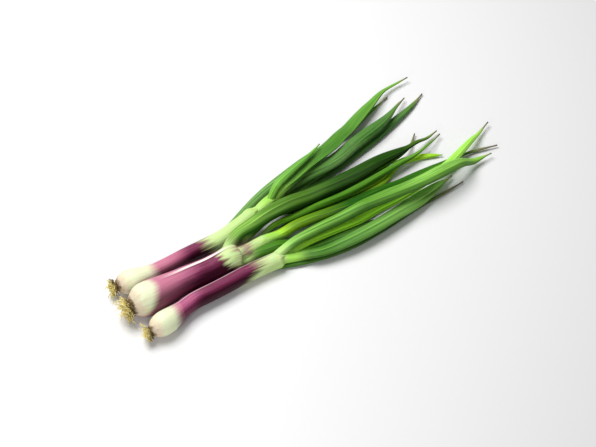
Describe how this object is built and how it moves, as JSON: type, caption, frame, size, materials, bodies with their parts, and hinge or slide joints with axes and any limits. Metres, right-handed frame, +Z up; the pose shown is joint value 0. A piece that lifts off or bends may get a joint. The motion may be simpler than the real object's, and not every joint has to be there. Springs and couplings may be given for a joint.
{
  "type": "spring onion bunch",
  "caption": "Loose bunch of purple-necked spring onions lying down, with rounded white bulbs, root tufts and fanned green leaves.",
  "frame": {"origin": "centre of the bunch's box, on the surface it lies on", "axes": "+X from the bulbs towards the leaf tips, +Z up, +Y towards the side that the leaves fan out to"},
  "size_m": [0.4208, 0.154, 0.0296],
  "materials": {
    "bulb_skin": "satin moist skin, white at the bulb, purple at the neck and pale green above",
    "root": "dry and fibrous",
    "leaf": "waxy green with a grey bloom and fine lengthwise veins",
    "young_leaf": "soft satin lime green"
  },
  "bodies": {
    "root": {"back_bulb_and_stem": "bulb_skin", "middle_bulb_and_stem": "bulb_skin", "front_bulb_and_stem": "bulb_skin", "back_roots": "root", "middle_roots": "root", "front_roots": "root", "back_leaf_1": "leaf", "back_leaf_2": "leaf", "back_leaf_3": "leaf", "back_leaf_4": "leaf", "back_leaf_5": "young_leaf", "middle_leaf_1": "leaf", "middle_leaf_2": "leaf", "middle_leaf_3": "young_leaf", "middle_leaf_4": "leaf", "middle_leaf_5": "leaf", "middle_leaf_6": "leaf", "front_leaf_1": "leaf", "front_leaf_2": "leaf", "front_leaf_3": "leaf", "front_leaf_4": "young_leaf", "front_leaf_5": "leaf"}
  },
  "joints": []
}
